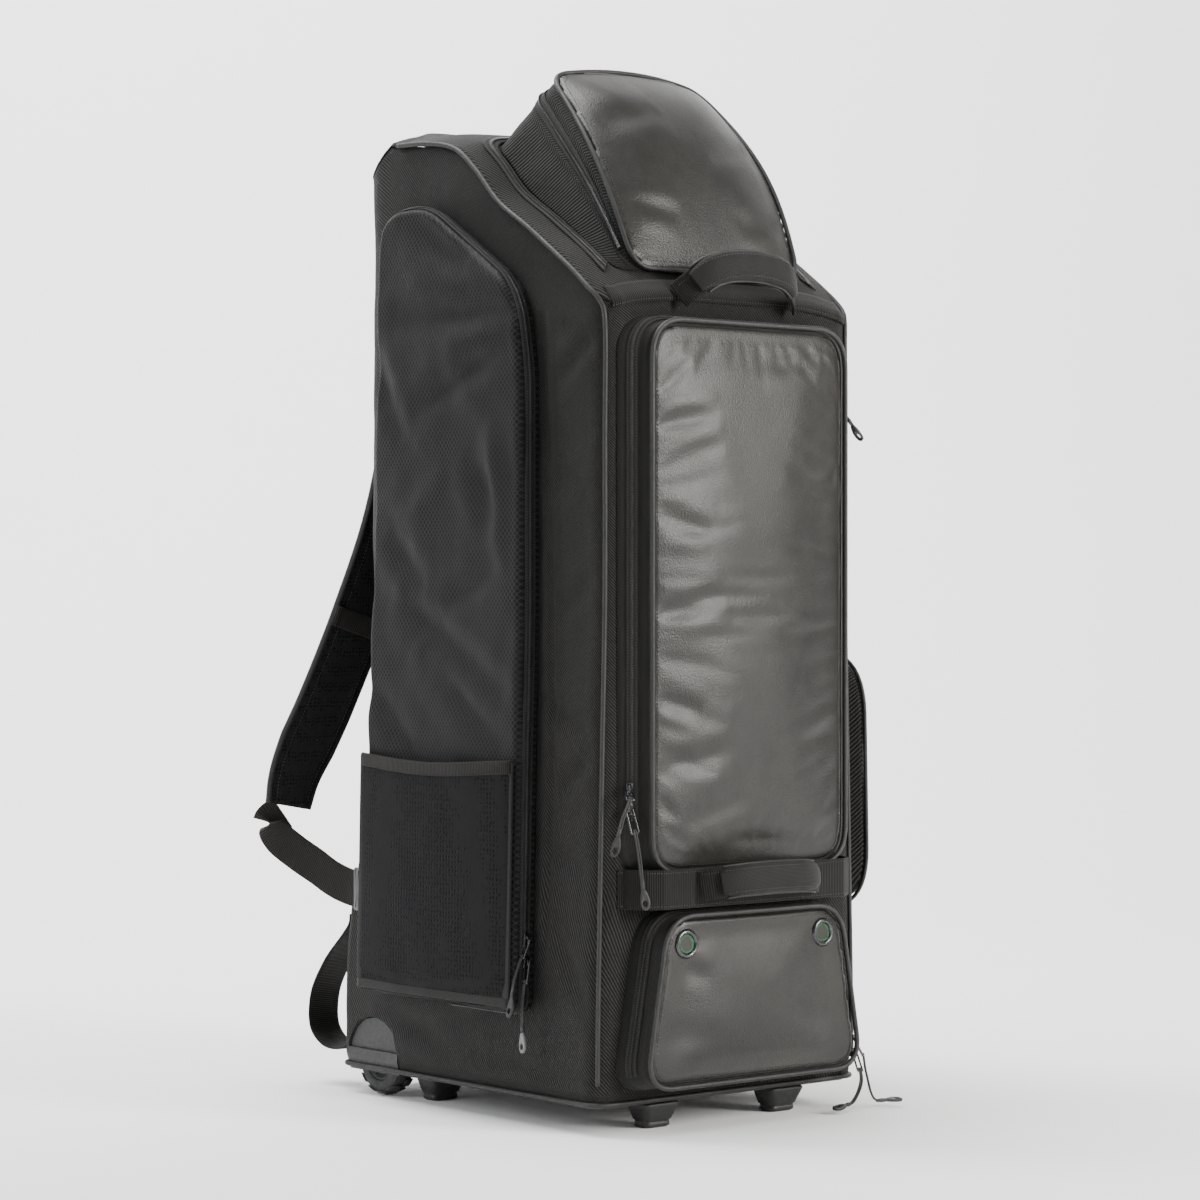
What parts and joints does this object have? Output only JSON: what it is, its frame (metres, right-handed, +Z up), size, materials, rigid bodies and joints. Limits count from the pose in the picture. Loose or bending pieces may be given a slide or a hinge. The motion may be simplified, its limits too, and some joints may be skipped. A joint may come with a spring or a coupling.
{
  "type": "cricket kit bag",
  "caption": "Upright wheeled cricket kit bag with leather-look front pockets, a sloping helmet pocket on the lid, a tall side bat pocket and padded shoulder straps.",
  "frame": {"origin": "centre of the bounding box in plan, on the floor under the wheels and feet", "axes": "+Z up along the standing bag, -Y out of the front pockets, +X to the right seen from the front"},
  "size_m": [0.4336, 0.5528, 0.9889],
  "materials": {
    "nylon_twill": "matte woven twill, near-black",
    "ripstop": "coated diamond ripstop, dark slate",
    "leather_look": "grained olive-grey leather-look, soft sheen",
    "webbing": "ribbed black-brown webbing",
    "spacer_mesh": "black air mesh over foam",
    "zip_tape": "black coil zip on woven tape",
    "piping": "smooth coated piping",
    "green_mesh": "fine dark green mesh",
    "dark_metal": "dark nickel",
    "plastic": "moulded black plastic",
    "tyre": "moulded black tread"
  },
  "bodies": {
    "root": {"body_shell": "nylon_twill", "top_lid": "nylon_twill", "helmet_gusset": "nylon_twill", "helmet_panel": "leather_look", "helmet_piping": "piping", "helmet_zip": "zip_tape", "lid_zip": "zip_tape", "front_gusset": "nylon_twill", "front_panel": "leather_look", "front_piping": "piping", "front_zip": "zip_tape", "eyelet_left": "dark_metal", "eyelet_mesh_left": "green_mesh", "eyelet_right": "dark_metal", "eyelet_mesh_right": "green_mesh", "shoe_gusset": "nylon_twill", "shoe_panel": "leather_look", "shoe_piping": "piping", "shoe_zip": "zip_tape", "bat_pocket": "ripstop", "bat_pocket_zip": "zip_tape", "side_pocket": "ripstop", "side_pocket_zip": "zip_tape", "ball_pocket": "nylon_twill", "mesh_pocket": "spacer_mesh", "upper_band": "webbing", "lower_band": "webbing", "upper_handle": "webbing", "lower_handle": "webbing", "edge_piping_left": "piping", "edge_piping_right": "piping", "bottom_piping": "piping", "back_panel": "spacer_mesh", "shoulder_strap_left": "spacer_mesh", "strap_webbing_left": "webbing", "strap_buckle_left": "plastic", "shoulder_strap_right": "spacer_mesh", "strap_webbing_right": "webbing", "strap_buckle_right": "plastic", "lower_loop_left": "webbing", "lower_loop_right": "webbing", "base_board": "plastic", "wheel_guard_left": "plastic", "axle_left": "dark_metal", "wheel_guard_right": "plastic", "axle_right": "dark_metal", "front_foot_left": "plastic", "rear_foot_left": "plastic", "front_foot_right": "plastic", "rear_foot_right": "plastic", "zip_pull_front_a": "dark_metal", "zip_pull_front_b": "dark_metal", "zip_pull_bat_a": "dark_metal", "zip_pull_bat_b": "dark_metal", "zip_pull_side_a": "dark_metal", "zip_pull_side_b": "dark_metal", "zip_pull_shoe_a": "dark_metal", "zip_pull_shoe_b": "dark_metal"},
    "wheel_left_body": {"wheel_left": "tyre"},
    "wheel_right_body": {"wheel_right": "tyre"}
  },
  "joints": [
    {"name": "wheel_left_spin", "type": "hinge", "parent": "root", "child": "wheel_left_body", "pos_m": [-0.1448, 0.13066, 0.036], "axis": [1, 0, 0], "continuous": true},
    {"name": "wheel_right_spin", "type": "hinge", "parent": "root", "child": "wheel_right_body", "pos_m": [0.1448, 0.13066, 0.036], "axis": [1, 0, 0], "continuous": true}
  ]
}
